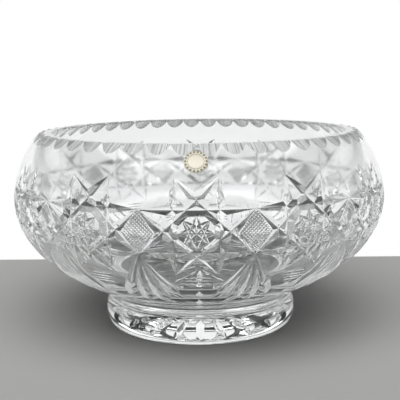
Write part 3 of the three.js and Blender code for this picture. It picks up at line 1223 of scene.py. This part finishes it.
def world_light():
    """Plain white to the eye, white with soft bands of grey above it for glass to show, and a plain
    light from above for everything that isn't glass. What shines through the glass stays off the
    floor, so that the floor keeps the bowl's whole shadow."""
    world = bpy.data.worlds.new("studio")
    bpy.context.scene.world = world
    world.use_nodes = True
    nodes, links = world.node_tree.nodes, world.node_tree.links
    nodes.clear()
    output = nodes.new("ShaderNodeOutputWorld")
    rays = nodes.new("ShaderNodeLightPath").outputs
    way = coordinate(nodes, "Generated")

    bands = nodes.new("ShaderNodeValToRGB")
    height = axes(nodes, links, way)["Z"]
    links.new(map_range(nodes, links, height, (0.0, 1.0), (-1.0, 1.0)), bands.inputs["Fac"])
    stops = bands.color_ramp.elements
    brightest = max(tone for _, tone in GLASS_BANDS)
    for i, (degrees, tone) in enumerate(GLASS_BANDS):
        position = (math.sin(degrees * DEGREE) + 1) / 2
        stop = stops[i] if i < len(stops) else stops.new(position)
        stop.position = position
        stop.color = (*[tone / brightest] * 3, 1)
    unscattered = math_node(nodes, links, "LESS_THAN", rays["Diffuse Depth"], 0.5)
    strength = math_node(nodes, links, "MULTIPLY", unscattered, brightest)
    banded = background(nodes, links, tone=bands.outputs["Color"], strength=strength)

    tilt = OVERHEAD_TILT * DEGREE
    towards = nodes.new("ShaderNodeVectorMath")
    towards.operation = "DOT_PRODUCT"
    towards.inputs[1].default_value = (0, -math.sin(tilt), math.cos(tilt))
    links.new(way, towards.inputs[0])
    span = [math.cos(degrees * DEGREE) for degrees in OVERHEAD_EDGE]
    overhead = map_range(nodes, links, towards.outputs["Value"], OVERHEAD_LIGHT, span, soft=True)
    plain = background(nodes, links, strength=overhead)

    shown = (rays["Is Glossy Ray"], rays["Is Transmission Ray"])
    by_glass = math_node(nodes, links, "MAXIMUM", *shown)
    lit = choose(nodes, links, by_glass, plain, banded)
    seen = choose(nodes, links, rays["Is Camera Ray"], lit, background(nodes, links))
    links.new(seen, output.inputs["Surface"])


def soft_lamp(name, place, size, power):
    """A soft box that looks at the middle of the bowl."""
    data = bpy.data.lights.new(name, "AREA")
    data.shape = "RECTANGLE"
    data.size, data.size_y = size
    data.energy = power
    lamp = bpy.data.objects.new(name, data)
    bpy.context.scene.collection.objects.link(lamp)
    way = np.array([0, 0, BOWL_HEIGHT / 2]) - np.array(place)
    pitch = math.atan2(math.hypot(way[0], way[1]), -way[2])
    turn = math.atan2(-way[0], way[1])
    lamp.location = place
    lamp.rotation_euler = (pitch, 0, turn)


def photo_camera(place):
    """The camera at the photograph's viewing angle."""
    data = bpy.data.cameras.new("photo_camera")
    data.sensor_width = SENSOR_WIDTH
    data.lens = place.lens
    data.clip_start = CLIP_START
    camera = bpy.data.objects.new("photo_camera", data)
    bpy.context.scene.collection.objects.link(camera)
    away, aside = -place.distance * math.cos(place.turn), place.distance * math.sin(place.turn)
    camera.matrix_world = (
        Matrix.Translation((aside, away, place.height))
        @ Matrix.Rotation(place.turn - place.yaw, 4, "Z")
        @ Matrix.Rotation(math.pi / 2 - place.pitch, 4, "X")
        @ Matrix.Rotation(place.roll, 4, "Z")
    )
    return camera


class OBJECT_OT_stage(bpy.types.Operator):
    """Sets up the plain floor, the soft light and the camera"""

    bl_idname = "crystal_bowl.stage"
    bl_label = "Stage"

    def execute(self, context):
        scene = context.scene
        place = scene.crystal_stage
        level, far = -place.floor_gap, place.floor_end
        corners = [
            (-FLOOR_REACH, FLOOR_FRONT, level),
            (FLOOR_REACH, FLOOR_FRONT, level),
            (FLOOR_REACH, far, level),
            (-FLOOR_REACH, far, level),
        ]
        pale = floor_material(scene.crystal_finish)
        table = mesh_object("table_top", corners, [(0, 1, 2, 3)], [pale])
        world_light()
        soft_lamp("key_light", KEY_PLACE, KEY_SIZE, KEY_POWER)
        scene.camera = photo_camera(place)
        scene.view_settings.view_transform = "Standard"
        for kind in ("max", "glossy", "transmission", "transparent_max"):
            setattr(scene.cycles, f"{kind}_bounces", LIGHT_BOUNCES)
        return {"FINISHED"}


class VIEW3D_PT_crystal_bowl(bpy.types.Panel):
    """Lists the settings and the pieces of the bowl and its stage"""

    bl_idname = "VIEW3D_PT_crystal_bowl"
    bl_label = "Crystal Bowl"
    bl_space_type = "VIEW_3D"
    bl_region_type = "UI"
    bl_category = "Crystal Bowl"

    def draw(self, context):
        for operator in OPERATORS:
            self.layout.operator(operator.bl_idname)
        for name, group in GROUPS.items():
            box = self.layout.box()
            box.label(text=group.__doc__)
            for setting in group.__annotations__:
                box.prop(getattr(context.scene, name), setting)


OPERATORS = (OBJECT_OT_cut_bowl, OBJECT_OT_foot, OBJECT_OT_foil_seal, OBJECT_OT_stage)
GROUPS = {
    "crystal_shape": BowlShape,
    "crystal_cuts": CutPattern,
    "crystal_foot": FootShape,
    "crystal_seal": SealShape,
    "crystal_finish": Finish,
    "crystal_stage": StagePlace,
}


def register():
    """Registers the settings, operators and panel."""
    for name, group in GROUPS.items():
        bpy.utils.register_class(group)
        setattr(bpy.types.Scene, name, PointerProperty(type=group))
    for item in (*OPERATORS, VIEW3D_PT_crystal_bowl):
        bpy.utils.register_class(item)


def unregister():
    """Takes them away again."""
    for item in (VIEW3D_PT_crystal_bowl, *reversed(OPERATORS)):
        bpy.utils.unregister_class(item)
    for name, group in reversed(GROUPS.items()):
        delattr(bpy.types.Scene, name)
        bpy.utils.unregister_class(group)


def main():
    """Builds every piece and the stage."""
    register()
    bpy.ops.crystal_bowl.cut_bowl()
    bpy.ops.crystal_bowl.foot()
    bpy.ops.crystal_bowl.foil_seal()
    bpy.ops.crystal_bowl.stage()


if __name__ == "__main__":
    main()
